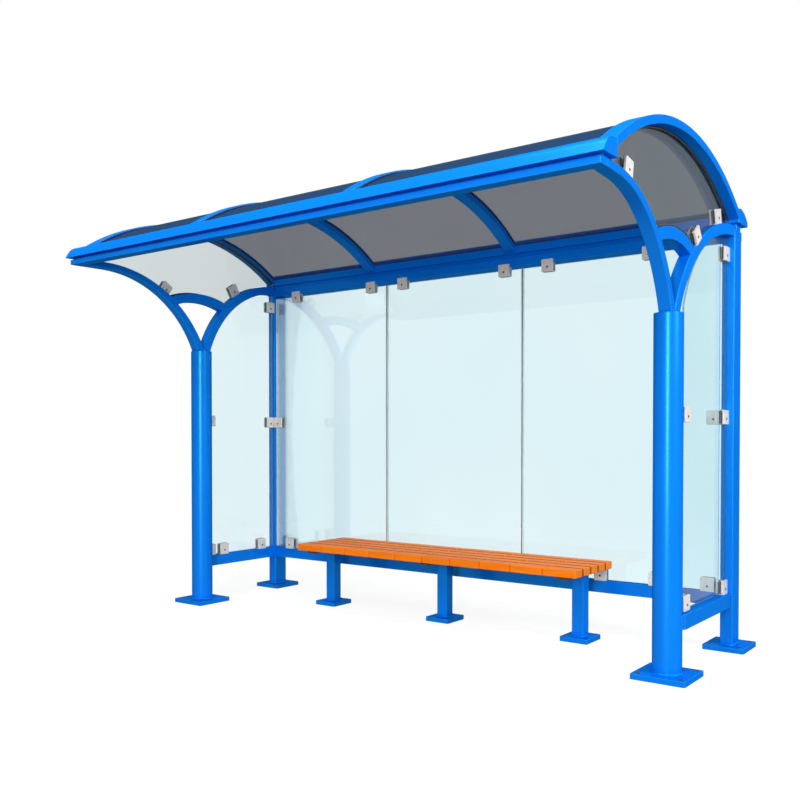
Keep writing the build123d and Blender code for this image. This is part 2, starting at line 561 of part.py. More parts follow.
save("side_clamps_right", *side_clamps(SIDE_RAIL_CLAMPS_RIGHT))
save("side_clamps_left", *[mirror(solid, Plane.YZ) for solid in side_clamps(SIDE_RAIL_CLAMPS_LEFT)])
save("gable_clamps_right", *gable_clamps(GABLE_CLAMPS_RIGHT))
save("gable_clamps_left", *[mirror(solid, Plane.YZ) for solid in gable_clamps(GABLE_CLAMPS_LEFT)])

save("front_beam", front_beam())
save("front_cap", hollow_bar(front_cap_face(), ROOF_END_X, FRONT_BEAM_BACK_Y + DRAIN_HOLE, FRONT_EAVE_HEIGHT))
save("rear_beam", rear_beam())
save("rear_cap", hollow_bar(rear_cap_face(), ROOF_END_X, REAR_FACE_Y + BEAM_DEPTH_REAR + DRAIN_HOLE,
                            REAR_EAVE_HEIGHT))
save("roof_rib_middle_left", rib(RIB_1_X, RIB_WIDTH, RIB_DEPTH, (-1, 1)))
save("roof_rib_middle_right", rib(RIB_2_X, RIB_WIDTH, RIB_DEPTH, (-1, 1)))

sheet_end = ROOF_END_X - END_RIB_WIDTH + SHEET_BITE
lap = RIB_WIDTH / 2 - SHEET_BITE
save("roof_sheet_left", roof_sheet(-sheet_end, RIB_1_X - lap))
save("roof_sheet_middle", roof_sheet(RIB_1_X + lap, RIB_2_X - lap))
save("roof_sheet_right", roof_sheet(RIB_2_X + lap, sheet_end))

pane_end = POST_INNER_X - GLASS_EDGE_GAP
half_joint = GLASS_JOINT / 2
save("back_glass_left", back_glass(-pane_end, JOINT_1_X - half_joint))
save("back_glass_middle", back_glass(JOINT_1_X + half_joint, JOINT_2_X - half_joint))
save("back_glass_right", back_glass(JOINT_2_X + half_joint, pane_end))
save("back_clamps", *back_clamps())
save("back_rail", back_rail())

for i, name in enumerate(("left", "middle", "right")):
    save(f"bench_leg_{name}", bench_leg(BENCH_X + LEG_SHIFT + (i - 1) * LEG_SPACING))
save("bench_slats", *bench_slats())
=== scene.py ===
"""Looks for the bus shelter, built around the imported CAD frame. Metres, +Z up, +X to the right."""
import math

import bmesh
import bpy
from mathutils import Matrix, Vector


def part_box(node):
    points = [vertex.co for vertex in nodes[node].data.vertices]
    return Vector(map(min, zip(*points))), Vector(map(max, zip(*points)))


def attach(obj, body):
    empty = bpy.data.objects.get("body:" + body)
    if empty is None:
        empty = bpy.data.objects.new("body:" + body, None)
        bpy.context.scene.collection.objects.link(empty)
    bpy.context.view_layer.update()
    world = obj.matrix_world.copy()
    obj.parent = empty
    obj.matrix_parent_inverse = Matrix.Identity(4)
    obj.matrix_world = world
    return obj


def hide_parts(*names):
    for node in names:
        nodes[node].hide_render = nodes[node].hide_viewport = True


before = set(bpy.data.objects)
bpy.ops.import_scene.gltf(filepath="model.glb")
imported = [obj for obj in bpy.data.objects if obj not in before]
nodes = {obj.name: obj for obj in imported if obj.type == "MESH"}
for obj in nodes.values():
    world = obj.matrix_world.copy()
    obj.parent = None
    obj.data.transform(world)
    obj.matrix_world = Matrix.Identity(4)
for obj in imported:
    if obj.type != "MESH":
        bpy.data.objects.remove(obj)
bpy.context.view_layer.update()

# Camera, fitted to the viewpoint of the photograph
CAMERA_AT = (3.3818, -4.3851, 1.2208)
CAMERA_PITCH = -0.017914
CAMERA_YAW = 0.64213
CAMERA_LENS = 40.68
CAMERA_SENSOR = 36.0
CAMERA_SHIFT_Y = 0.0639
CAMERA_CLIP_END = 200.0

# Sizes of the CAD model that the details follow
GLASS = 0.010
GLASS_X = 1.788                    # plane of the side and gable glass
AXIS_Y = 0.04625                   # the columns' axes
ARCH_AXIS = (AXIS_Y - 0.04125, 1.22833)
ARCH_RADIUS = 1.49567
END_RIB_INNER = ARCH_RADIUS - 0.040
SHEET_TOP = ARCH_RADIUS - 0.012
SHEET_BOTTOM = SHEET_TOP - 0.006
BRACE_AXIS = (AXIS_Y - 0.020, 1.557)
BRACE_TOP = 0.686                  # radius of a brace's upper face
FRONT_ARM_AXIS = (AXIS_Y - 0.791, 1.4948)
REAR_ARM_AXIS = (AXIS_Y + 0.7895, 1.5572)
ARM_TOPS = (0.8662, 0.8418)        # radii of the upper faces of the front and rear arms
PLATE_TOP = 0.028
TUBE_CORNER = 0.006
LEG_HALF = 0.038
LEG_AXIS_Y = AXIS_Y + 0.508
LEG_PLATE_HALF_Y = 0.0975
BOLT_RADIUS = 0.010
BOLT_EDGE = 0.031                  # from a bolt hole's centre to the edges of its plate
LEG_BOLT_RADIUS = 0.007
LEG_BOLT_EDGE = 0.022
CLAMP = 0.080
CLAMP_HALF = 0.020                 # half of a clamp's thickness
CLAMP_SLOT = 0.0055                # half of its slot

# Where the clamps of one node change their kind
BEAM_CLAMPS_Z = 2.0                # back clamps above this hang from the beam
POST_CLAMPS_Z = 1.0                # lower ones above this reach in from a post, the rest stand on a rail
COLUMN_CLAMPS_Y = AXIS_Y + 0.17    # side clamps in front of this reach back from a column

# Bench boards
BOARD_PIECES = 10
BOARD_BEVEL = 0.0045
BOARD_GAP = 0.0035
FLANK_INSET = 0.02                 # the seat's front and rear faces stay free of the painted shade this far in

# Screws and liners of the clamps; the profile is (radius, height) from the rim to the socket
SCREW_PROFILE = ((0.0070, 0.0), (0.0070, 0.0010), (0.0060, 0.0018),
                 (0.0034, 0.0018), (0.0030, 0.0004), (0.0, 0.0002))
SCREW_DROP = 0.010                 # below the middle of its clamp
SCREW_STEPS = 12
# the liners' depth widens their black band, which also paints the shade in the slot
LINER_DEPTH = 0.004
LINER_INSET = 0.006                # from a clamp's corners
LINER_SUNK = 0.001
LINER_PROUD = 0.0006
LINER_BEVEL = 0.0004

# Seals between the back panes, and pale strips along the panes' edges, a painted highlight on their polished
# edges
SEAL_SLACK = 0.0002
SEAL_SUNK = 0.0008
SEAL_END = 0.001
SEAL_BEVEL = 0.0008
POLISH_START = 0.0003              # from a pane's edge to its strip
POLISH_END = 0.0055
POLISH_PROUD = 0.0005
POLISH_BEVEL = 0.0002

# Gaskets
GABLE_GASKET = 0.010
GABLE_GASKET_RADII = (END_RIB_INNER - 0.007, END_RIB_INNER + 0.001)
BRACE_GASKET = (0.009, 0.0002)     # inwards from the glass
BRACE_GASKET_RADII = (BRACE_TOP - 0.0005, BRACE_TOP + 0.011)
BRACE_GASKET_END = 0.004
ROOF_GASKET = 0.005
UPPER_GASKET_RADII = (SHEET_TOP - 0.0003, SHEET_TOP + 0.0045)
LOWER_GASKET_RADII = (SHEET_BOTTOM - 0.0015, SHEET_BOTTOM + 0.0003)
CAP_LAP = 0.05                     # upper gaskets carry on over the front cap
GASKET_SOFTNESS = 0.25             # corner cut, as a share of the thinner side
ARCH_STEPS = 64
BRACE_STEPS = 32

# Welds; the curve is in shares of a weld's size, and a ripple is (share, radians a step, radians at start)
COLUMN_WELD = 0.009
POST_WELD = 0.007
LEG_WELD = 0.006
WELD_ROOT = 0.002                  # inside the tube's face
WELD_SUNK = 0.0005                 # below the plate's top
WELD_CURVE = ((0.10, 1.0), (0.42, 0.62), (0.72, 0.30))
WELD_RIPPLES = ((0.10, 2.3, 0.0), (0.06, 5.1, 1.0))
ROUND_STEPS = 72
CORNER_STEPS = 4

# Outline of the closed front end of a side rail: inwards from its outer face, and back from its end
RAIL_END = ((0.034, 0.001), (0.0005, 0.001), (0.0085, -0.032), (0.030, -0.030))
RAIL_END_INSET = 0.002

# Dark liner in a bolt hole, a painted shade for the hole: (beyond the hole's radius, height) up the outside,
# over the collar and down the bore
HOLE_SHADE_FLOOR = 0.0045
HOLE_SHADE_PROFILE = ((-0.0003, 0.004), (-0.0003, PLATE_TOP + 0.0001), (0.0032, PLATE_TOP + 0.0001),
                (0.0026, PLATE_TOP + 0.0008), (-0.0010, PLATE_TOP + 0.0008), (-0.0012, HOLE_SHADE_FLOOR))
HOLE_SHADE_STEPS = 24

# Black sleeves round the seat bearers, a painted shade under the seat
SLEEVE_HALF = 0.034
SLEEVE_END = 0.009                 # inside the seat's front and rear faces
SLEEVE_DEPTH = 0.016
SLEEVE_GAP = 0.0005
SLEEVE_BEVEL = 0.002

# Floor
FLOOR_HALF = 40.0
FLOOR_SEGMENTS = 8
FLOOR_DROP = 0.0004
FLOOR_FADE = (3.0, 6.5)            # plain white takes over from the lit floor between these radii
FLOOR_GREY = 0.16
FLOOR_LIFT = 0.90

# Light and colours
WHITE = (1.0, 1.0, 1.0, 1.0)
WORLD_TINT = (0.95, 0.97, 1.0, 1.0)
WORLD_STRENGTH = 0.10
PAINT_BODY = ((0.0, 0.152, 0.73), (0.0, 0.166, 0.78))
# Lighter blue along the edges, a painted highlight
PAINT_EDGE_HIGHLIGHT = (0.04, 0.50, 1.0, 1.0)
PAINT_GLOSS = (0.05, 0.46, 0.70, 1.0)
PAINT_GLOSS_SHARE = 0.13
GLASS_EDGE_TINT = (0.55, 0.70, 0.72, 1.0)
GLASS_EDGE_BODY = (0.10, 0.24, 0.27, 1.0)
GLASS_HAZE = (0.70, 0.88, 0.91, 1.0)
AQUA_DEEP = ((0.845, 0.942, 0.962), (0.870, 0.958, 0.975))
AQUA = ((0.872, 0.948, 0.965), (0.892, 0.960, 0.974))
NEUTRAL = ((0.785, 0.822, 0.825), (0.810, 0.845, 0.848))
SHEET_TINTS = ((0.50, 0.51, 0.53), (0.55, 0.56, 0.575))
SHEET_UNDER = (0.16, 0.165, 0.175, 1.0)
# Dark blue for the sheet's upward faces, a painted shade
SHEET_TOP_SHADE = (0.002, 0.020, 0.065, 1.0)
SHEET_GLOSS = (0.35, 0.62, 1.0, 1.0)
SHEET_GLOSS_SHARE = 0.09
CAST_METAL = ((0.66, 0.615, 0.585), (0.80, 0.75, 0.72))
TIMBER_STOPS = ((0.30, (0.78, 0.150, 0.002)), (0.46, (0.92, 0.205, 0.004)),
                (0.58, (0.96, 0.225, 0.006)), (0.72, (0.98, 0.26, 0.012)))
# Dark brown on the faces between the slats, a painted shade
FLANK_SHADE = (0.34, 0.055, 0.002, 1.0)
NOISE_LOW = 0.3                    # most of a noise's values lie between these
NOISE_HIGH = 0.7


# ---------------------------------------------------------------- shader helpers

def new_material(name):
    """An empty node material and its output."""
    mat = bpy.data.materials.new(name)
    mat.use_nodes = True
    mat.node_tree.nodes.clear()
    out = mat.node_tree.nodes.new("ShaderNodeOutputMaterial")
    return mat, mat.node_tree, out


def add(tree, kind, inputs=None, **props):
    """A node with its properties set, and inputs that are numbers or sockets."""
    node = tree.nodes.new("ShaderNode" + kind)
    for key, value in props.items():
        setattr(node, key, value)
    for key, value in (inputs or {}).items():
        if isinstance(value, bpy.types.NodeSocket):
            tree.links.new(value, node.inputs[key])
        else:
            node.inputs[key].default_value = value
    return node


def show(tree, out, shader):
    """Send a shader to the surface output."""
    tree.links.new(shader.outputs[0], out.inputs["Surface"])


def math_node(tree, operation, a, b=0.0):
    """Result of one operation on numbers or sockets."""
    return add(tree, "Math", {0: a, 1: b}, operation=operation).outputs[0]


def remap(tree, value, low, high, to_low, to_high):
    """Value from one range to another, clamped."""
    node = add(tree, "MapRange", {"Value": value, "From Min": low, "From Max": high,
                                  "To Min": to_low, "To Max": to_high})
    return node.outputs[0]


def spread(tree, value, to_low, to_high):
    """A noise's value spread over a range."""
    return remap(tree, value, NOISE_LOW, NOISE_HIGH, to_low, to_high)


def ramp(tree, value, stops):
    """Colour ramp through (position, colour) stops."""
    node = add(tree, "ValToRGB", {"Fac": value})
    elements = node.color_ramp.elements
    while len(elements) < len(stops):
        elements.new(0.5)
    for element, (position, colour) in zip(elements, stops):
        element.position = position
        element.color = (*colour, 1.0)
    return node.outputs["Color"]


def two_tones(tree, value, tones):
    """Colour that drifts between two tones with a noise's value."""
    return ramp(tree, value, [(NOISE_LOW, tones[0]), (NOISE_HIGH, tones[1])])


def mix_colour(tree, factor, a, b):
    """Colour between two colours or sockets."""
    return add(tree, "Mix", {0: factor, 6: a, 7: b}, data_type="RGBA").outputs[2]


def mix_shader(tree, factor, a, b):
    """Shader between two shader nodes."""
    return add(tree, "MixShader", {0: factor, 1: a.outputs[0], 2: b.outputs[0]})


def place(tree, scale=(1.0, 1.0, 1.0), offset=(0.0, 0.0, 0.0)):
    """Object coordinates, stretched and moved."""
    coord = add(tree, "TexCoord").outputs["Object"]
    return add(tree, "Mapping", {"Vector": coord, "Scale": scale, "Location": offset}).outputs["Vector"]


def geometry_axis(tree, output, axis):
    """One axis, 0 to 2, of a vector that the Geometry node gives."""
    vector = add(tree, "NewGeometry").outputs[output]
    return add(tree, "SeparateXYZ", {"Vector": vector}).outputs[axis]


def noise(tree, vector, scale, detail=3.0, roughness=0.5, distortion=0.0):
    """Noise value at a vector."""
    node = add(tree, "TexNoise", {"Vector": vector, "Scale": scale, "Detail": detail,
                                  "Roughness": roughness, "Distortion": distortion})
    return node.outputs["Fac"]


def bump(tree, height, strength, distance, normal=None):
    """Normal bumped by a height, from the surface's own or another normal."""
    inputs = {"Height": height, "Strength": strength, "Distance": distance}
    if normal is not None:
        inputs["Normal"] = normal
    return add(tree, "Bump", inputs).outputs["Normal"]


# ---------------------------------------------------------------- materials

def paint_material():
    """Satin blue powder coat: a faint orange peel, rounded edges and a painted highlight, a lighter blue,
    along them.
    """
    mat, tree, out = new_material("blue_paint")
    where = place(tree)
    body = two_tones(tree, noise(tree, where, 1.7, 2.0), PAINT_BODY)
    peel = noise(tree, where, 420.0, 2.0)
    rough = spread(tree, noise(tree, where, 9.0, 4.0), 0.29, 0.33)
    rounded = add(tree, "Bevel", {"Radius": 0.005}, samples=6).outputs["Normal"]
    flat = add(tree, "NewGeometry").outputs["Normal"]
    straight = add(tree, "VectorMath", {0: rounded, 1: flat}, operation="DOT_PRODUCT").outputs["Value"]
    # Painted highlight: the colour turns lighter blue where the rounded normal bends away, along every edge.
    colour = mix_colour(tree, remap(tree, straight, 0.80, 0.98, 0.55, 0.0), body, PAINT_EDGE_HIGHLIGHT)
    normal = bump(tree, peel, 0.04, 0.0005, rounded)
    coat = add(tree, "BsdfPrincipled", {"Base Color": colour, "Roughness": rough, "Normal": normal,
                                        "Specular IOR Level": 0.0})
    sheen = add(tree, "BsdfGlossy", {"Color": PAINT_GLOSS, "Roughness": rough, "Normal": normal})
    show(tree, out, mix_shader(tree, PAINT_GLOSS_SHARE, coat, sheen))
    return mat


def pane_edges(tree, axis):
    """1 on the narrow edges of a pane whose faces look along an axis, 0 on its faces."""
    along = math_node(tree, "ABSOLUTE", geometry_axis(tree, "True Normal", axis))
    return math_node(tree, "LESS_THAN", along, 0.5)


def glass_material(name, axis, clear_tints, milk_range, shine):
    """Toughened glass: a tinted clear part, a little milky haze, mirror gloss and grey-green edges."""
    mat, tree, out = new_material(name)
    edge = pane_edges(tree, axis)
    haze = noise(tree, place(tree), 0.9, 2.0)
    tint = ramp(tree, haze, [(0.35, clear_tints[0]), (0.65, clear_tints[1])])
    clear = add(tree, "BsdfTransparent", {"Color": mix_colour(tree, edge, tint, GLASS_EDGE_TINT)})
    smears = remap(tree, noise(tree, place(tree, (1.0, 1.0, 0.25)), 6.0, 3.0), 0.35, 0.7, 0.25, 0.40)
    solid = add(tree, "BsdfPrincipled", {"Base Color": mix_colour(tree, edge, GLASS_HAZE, GLASS_EDGE_BODY),
                                         "Roughness": smears, "Specular IOR Level": 0.0})
    milk = spread(tree, haze, *milk_range)
    shown = math_node(tree, "ADD", math_node(tree, "MULTIPLY", edge, 0.45), milk)
    gloss = add(tree, "BsdfGlossy", {"Color": WHITE, "Roughness": 0.015})
    fresnel = add(tree, "Fresnel", {"IOR": 1.45}).outputs[0]
    mirror = math_node(tree, "MULTIPLY", fresnel, shine)
    show(tree, out, mix_shader(tree, mirror, mix_shader(tree, shown, clear, solid), gloss))
    return mat


def sheet_material():
    """Smoked roof sheet: painted shade on its upper skin, dark blue and more opaque there, plain translucent
    grey below.
    """
    mat, tree, out = new_material("roof_sheet")
    drift = noise(tree, place(tree), 1.1, 2.0)
    upward = math_node(tree, "GREATER_THAN", geometry_axis(tree, "True Normal", 2), 0.0)
    clear = add(tree, "BsdfTransparent", {"Color": two_tones(tree, drift, SHEET_TINTS)})
    rough = spread(tree, noise(tree, place(tree, (1.0, 0.3, 0.3)), 30.0, 4.0), 0.10, 0.20)
    normal = bump(tree, noise(tree, place(tree, (0.4, 1.0, 1.0)), 7.0, 2.0), 0.12, 0.004)
    # Painted shade: the upward faces are dark blue.
    matt = add(tree, "BsdfPrincipled", {"Base Color": mix_colour(tree, upward, SHEET_UNDER, SHEET_TOP_SHADE),
                                        "Roughness": 0.5, "Normal": normal, "Specular IOR Level": 0.0})
    gloss = add(tree, "BsdfGlossy", {"Color": SHEET_GLOSS, "Roughness": rough, "Normal": normal})
    solid = mix_shader(tree, SHEET_GLOSS_SHARE, matt, gloss)
    haze = spread(tree, drift, 0.22, 0.28)
    # Painted shade: the upward faces are also far more opaque.
    shown = math_node(tree, "ADD", math_node(tree, "MULTIPLY", upward, 0.66), haze)
    show(tree, out, mix_shader(tree, shown, clear, solid))
    return mat


def clamp_material():
    """Satin cast metal, warm grey, with a fine brushed grain."""
    mat, tree, out = new_material("clamp_metal")
    grain = noise(tree, place(tree, (1.0, 1.0, 8.0)), 260.0, 4.0)
    colour = two_tones(tree, noise(tree, place(tree), 60.0, 5.0), CAST_METAL)
    rough = spread(tree, grain, 0.34, 0.50)
    rounded = add(tree, "Bevel", {"Radius": 0.0016}, samples=4).outputs["Normal"]
    normal = bump(tree, grain, 0.08, 0.0004, rounded)
    show(tree, out, add(tree, "BsdfPrincipled", {"Base Color": colour, "Metallic": 0.25, "Roughness": rough,
                                                 "Specular IOR Level": 0.3, "Normal": normal}))
    return mat


def slat_flanks(tree):
    """1 on the faces between slats, 0 on their tops and ends and on the seat's front and rear faces."""
    low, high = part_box("bench_slats")
    sideways = math_node(tree, "ABSOLUTE", geometry_axis(tree, "True Normal", 1))
    flank = math_node(tree, "GREATER_THAN", sideways, 0.3)
    depth = geometry_axis(tree, "Position", 1)
    behind = math_node(tree, "GREATER_THAN", depth, low.y + FLANK_INSET)
    before = math_node(tree, "LESS_THAN", depth, high.y - FLANK_INSET)
    return math_node(tree, "MULTIPLY", math_node(tree, "MULTIPLY", flank, behind), before)


def timber_material():
    """Orange stained timber with grain along X that differs from board to board, with painted shade on the
    faces between the slats.
    """
    mat, tree, out = new_material("bench_timber")
    island = add(tree, "NewGeometry").outputs["Random Per Island"]
    shift = add(tree, "CombineXYZ", {0: math_node(tree, "MULTIPLY", island, 7.0),
                                     1: math_node(tree, "MULTIPLY", island, 3.0), 2: island}).outputs[0]
    rings = noise(tree, place(tree, (1.0, 11.0, 11.0), shift), 2.4, 5.0, 0.55, 1.6)
    fibres = noise(tree, place(tree, (5.0, 160.0, 160.0), shift), 3.0, 3.0)
    grain = math_node(tree, "ADD", math_node(tree, "MULTIPLY", rings, 0.75),
                      math_node(tree, "MULTIPLY", fibres, 0.25))
    value = remap(tree, island, 0.0, 1.0, 0.94, 1.05)
    tone = add(tree, "HueSaturation", {"Color": ramp(tree, grain, TIMBER_STOPS), "Value": value}).outputs[0]
    # Painted shade: the faces between the slats turn dark brown.
    colour = mix_colour(tree, slat_flanks(tree), tone, FLANK_SHADE)
    rough = spread(tree, fibres, 0.42, 0.58)
    normal = bump(tree, fibres, 0.18, 0.0008)
    show(tree, out, add(tree, "BsdfPrincipled", {"Base Color": colour, "Roughness": rough,
                                                 "Specular IOR Level": 0.16, "Normal": normal}))
    return mat


def plain_material(name, low, high, scale, roughness, metallic, bumpiness):
    """A fine-grained material that drifts between two colours."""
    mat, tree, out = new_material(name)
    fine = noise(tree, place(tree), scale, 3.0)
    rough = spread(tree, fine, roughness - 0.06, roughness + 0.06)
    normal = bump(tree, fine, bumpiness, 0.0005)
    show(tree, out, add(tree, "BsdfPrincipled", {"Base Color": two_tones(tree, fine, (low, high)),
                                                 "Roughness": rough, "Metallic": metallic, "Normal": normal}))
    return mat


PAINT = paint_material()
GLASS_BACK = glass_material("glass_back", 1, AQUA_DEEP, (0.008, 0.02), 0.7)
GLASS_SIDE = glass_material("glass_side", 0, AQUA, (0.005, 0.01), 0.12)
GLASS_GABLE = glass_material("glass_gable", 0, NEUTRAL, (0.0, 0.004), 0.1)
SHEET = sheet_material()
METAL = clamp_material()
TIMBER = timber_material()
RUBBER = plain_material("black_rubber", (0.008, 0.009, 0.011), (0.018, 0.020, 0.023), 300.0, 0.55, 0.0, 0.15)
SEALANT = plain_material("grey_sealant", (0.075, 0.085, 0.10), (0.10, 0.11, 0.125), 220.0, 0.50, 0.0, 0.20)
# Pale strips beside the back wall's joints: the edges are polished, the pale colour is a painted highlight
POLISHED_EDGE_HIGHLIGHT = plain_material("polished_edge_highlight", (0.74, 0.86, 0.88), (0.82, 0.92, 0.94), 90.0, 0.22, 0.0, 0.05)
# Dark navy for the liners in the bolt holes, a painted shade
HOLE_SHADE = plain_material("bolt_hole_shade", (0.002, 0.010, 0.040), (0.003, 0.014, 0.055), 300.0, 0.5, 0.0, 0.1)
SCREW = plain_material("dark_screw", (0.035, 0.033, 0.032), (0.075, 0.070, 0.066), 500.0, 0.38, 0.8, 0.20)


def node_material(name):
    """The material of a CAD node, by its name."""
    if name.startswith("roof_sheet"):
        return SHEET
    if name.startswith("back_glass"):
        return GLASS_BACK
    if name.startswith("gable_glass"):
        return GLASS_GABLE
    if "glass" in name:
        return GLASS_SIDE
    if "clamps" in name:
        return METAL
    return TIMBER if name == "bench_slats" else PAINT


for name, obj in nodes.items():
    for slot in obj.material_slots:
        slot.material = node_material(name)


# ---------------------------------------------------------------- geometry helpers

def piece(name, bm, material):
    """A finished piece of the shelter from a bmesh."""
    mesh = bpy.data.meshes.new(name)
    bm.to_mesh(mesh)
    bm.free()
    mesh.materials.append(material)
    obj = bpy.data.objects.new(name, mesh)
    bpy.context.scene.collection.objects.link(obj)
    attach(obj, "root")
    return obj


def block(bm, low, high, bevel, turn=None, segments=2):
    """Box between two corners with rounded edges, then turned into place."""
    low, high = Vector(low), Vector(high)
    size = high - low
    made = bmesh.ops.create_cube(bm, size=1.0)
    for v in made["verts"]:
        v.co = low + Vector((size[i] * (v.co[i] + 0.5) for i in range(3)))
        if turn is not None:
            v.co = turn @ v.co
    edges = {e for v in made["verts"] for e in v.link_edges}
    bmesh.ops.bevel(bm, geom=list(edges), offset=bevel, segments=segments, profile=0.5, affect="EDGES")


def sweep(bm, path, section, closed):
    """Skin along a path of (origin, u, v) frames; section points are (u, v) distances."""
    rings = [[bm.verts.new(at + u * s + v * t) for s, t in section(k)] for k, (at, u, v) in enumerate(path)]
    count = len(rings)
    for k in range(count if closed else count - 1):
        a, b = rings[k], rings[(k + 1) % count]
        for i in range(len(a)):
            j = (i + 1) % len(a)
            bm.faces.new((a[i], a[j], b[j], b[i]))
    if not closed:
        bm.faces.new(rings[0])
        bm.faces.new(list(reversed(rings[-1])))


def lathe(bm, profile, steps, turn):
    """Turned shape about local Z from (radius, height) points, ending on the axis."""
    rings = []
    for r, h in profile[:-1]:
        rings.append([bm.verts.new(turn @ Vector((r * math.cos(a), r * math.sin(a), h)))
                      for a in (2 * math.pi * k / steps for k in range(steps))])
    tip = bm.verts.new(turn @ Vector((0, 0, profile[-1][1])))
    for a, b in zip(rings, rings[1:]):
        for k in range(steps):
            j = (k + 1) % steps
            bm.faces.new((a[k], a[j], b[j], b[k]))
    for k in range(steps):
        bm.faces.new((rings[-1][k], rings[-1][(k + 1) % steps], tip))


def smooth(bm):
    """Smooth shading on every face."""
    for face in bm.faces:
        face.smooth = True


def on_side(side, inner, outer):
    """Two distances from the middle plane as X positions on one side, in order."""
    return sorted((side * inner, side * outer))


def islands(name):
    """Boxes of the separate solids in a CAD node, sorted so that every run gives the same order."""
    bm = bmesh.new()
    bm.from_mesh(nodes[name].data)
    bmesh.ops.remove_doubles(bm, verts=bm.verts, dist=1e-5)
    left, boxes = set(bm.verts), []
    while left:
        todo, found = [left.pop()], []
        while todo:
            v = todo.pop()
            found.append(v.co.copy())
            for e in v.link_edges:
                w = e.other_vert(v)
                if w in left:
                    left.remove(w)
                    todo.append(w)
        boxes.append((Vector(map(min, zip(*found))), Vector(map(max, zip(*found)))))
    bm.free()
    return sorted(boxes, key=lambda box: tuple(box[0]))


# ---------------------------------------------------------------- bench boards

bm = bmesh.new()
for low, high in islands("bench_slats"):
    step = (high.x - low.x) / BOARD_PIECES
    for i in range(BOARD_PIECES):
        start = low.x + i * step + (BOARD_GAP if i else 0)
        block(bm, (start, low.y, low.z), (low.x + (i + 1) * step, high.y, high.z), BOARD_BEVEL)
boards = piece("bench_boards", bm, TIMBER)
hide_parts("bench_slats")


# ---------------------------------------------------------------- clamp screws and glass liners

def clamp_frame(foot, v, w):
    """Frame at a clamp's foot: u across, v away from the foot, w through the glass."""
    made = Matrix((v.cross(w), v, w)).transposed().to_4x4()
    made.translation = foot
    return made


def back_clamp_frames():
    """Frames of the clamps of the back wall."""
    for low, high in islands("back_clamps"):
        at = (low + high) / 2
        if at.z > BEAM_CLAMPS_Z:
            v = Vector((0, 0, -1))
        elif at.z > POST_CLAMPS_Z:
            v = Vector((-math.copysign(1, at.x), 0, 0))
        else:
            v = Vector((0, 0, 1))
        yield clamp_frame(at - v * CLAMP / 2, v, Vector((0, 1, 0)))


def end_clamp_frames(side):
    """Frames of the side and gable clamps of one end."""
    w = Vector((1, 0, 0))
    for low, high in islands(f"side_clamps_{side}"):
        at = (low + high) / 2
        if at.y < COLUMN_CLAMPS_Y:
            v = Vector((0, 1, 0))
            at.y = high.y - CLAMP / 2
        elif at.z > POST_CLAMPS_Z:
            v = Vector((0, -1, 0))
        else:
            v = Vector((0, 0, 1))
        yield clamp_frame(at - v * CLAMP / 2, v, w)
    for low, high in islands(f"gable_clamps_{side}"):
        at = (low + high) / 2
        axis, reach = (FRONT_ARM_AXIS, ARM_TOPS[0]) if at.y < AXIS_Y else (REAR_ARM_AXIS, ARM_TOPS[1])
        centre = Vector((at.x, *axis))
        v = (at - centre).normalized()
        yield clamp_frame(centre + v * reach, v, w)


def add_screw(bm, frame_at, side):
    """Screw on one face of a clamp."""
    out_of_face = frame_at.to_3x3() @ Vector((0, 0, side))
    spot = frame_at @ Vector((0, CLAMP / 2, 0)) - Vector((0, 0, SCREW_DROP))
    turn = out_of_face.to_track_quat("Z", "Y").to_matrix().to_4x4()
    turn.translation = spot + out_of_face * CLAMP_HALF
    lathe(bm, SCREW_PROFILE, SCREW_STEPS, turn)


def add_liners(bm, frame_at, side):
    """Rubber lips along the three open edges of a clamp, on one side of the glass; black and wide, they also
    paint the shade in the clamp's slot.
    """
    half = CLAMP / 2
    near, far = sorted((side * CLAMP_SLOT, side * (CLAMP_SLOT + LINER_DEPTH)))
    for edge in (-1, 1):
        a, b = sorted((edge * (half - LINER_SUNK), edge * (half + LINER_PROUD)))
        block(bm, (a, LINER_INSET, near), (b, CLAMP - LINER_INSET, far), LINER_BEVEL, frame_at, 1)
    block(bm, (LINER_INSET - half, CLAMP - LINER_SUNK, near), (half - LINER_INSET, CLAMP + LINER_PROUD, far),
          LINER_BEVEL, frame_at, 1)


screws, liners = bmesh.new(), bmesh.new()
for frame_at in (*back_clamp_frames(), *end_clamp_frames("left"), *end_clamp_frames("right")):
    for side in (-1, 1):
        add_screw(screws, frame_at, side)
        add_liners(liners, frame_at, side)
smooth(screws)
piece("clamp_screws", screws, SCREW)
piece("clamp_liners_and_slot_shade", liners, RUBBER)


# ---------------------------------------------------------------- seals and painted edge highlights of the back wall

seals, edges = bmesh.new(), bmesh.new()
panes = [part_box(f"back_glass_{name}") for name in ("left", "middle", "right")]
for (low, high), (next_low, _) in zip(panes, panes[1:]):
    x0, x1 = high.x, next_low.x
    block(seals, (x0 + SEAL_SLACK, low.y + SEAL_SUNK, low.z + SEAL_END),
          (x1 - SEAL_SLACK, high.y - SEAL_SUNK, high.z - SEAL_END), SEAL_BEVEL)
    # Pale strips on both faces of each pane beside a joint, a painted highlight for light on the polished
    # edges.
    for face, proud in ((low.y, -POLISH_PROUD), (high.y, POLISH_PROUD)):
        a, b = sorted((face, face + proud))
        block(edges, (x0 - POLISH_END, a, low.z), (x0 - POLISH_START, b, high.z), POLISH_BEVEL, None, 1)
        block(edges, (x1 + POLISH_START, a, low.z), (x1 + POLISH_END, b, high.z), POLISH_BEVEL, None, 1)
piece("joint_seals", seals, SEALANT)
piece("polished_edge_highlights", edges, POLISHED_EDGE_HIGHLIGHT)


# ---------------------------------------------------------------- gaskets along the arches and braces

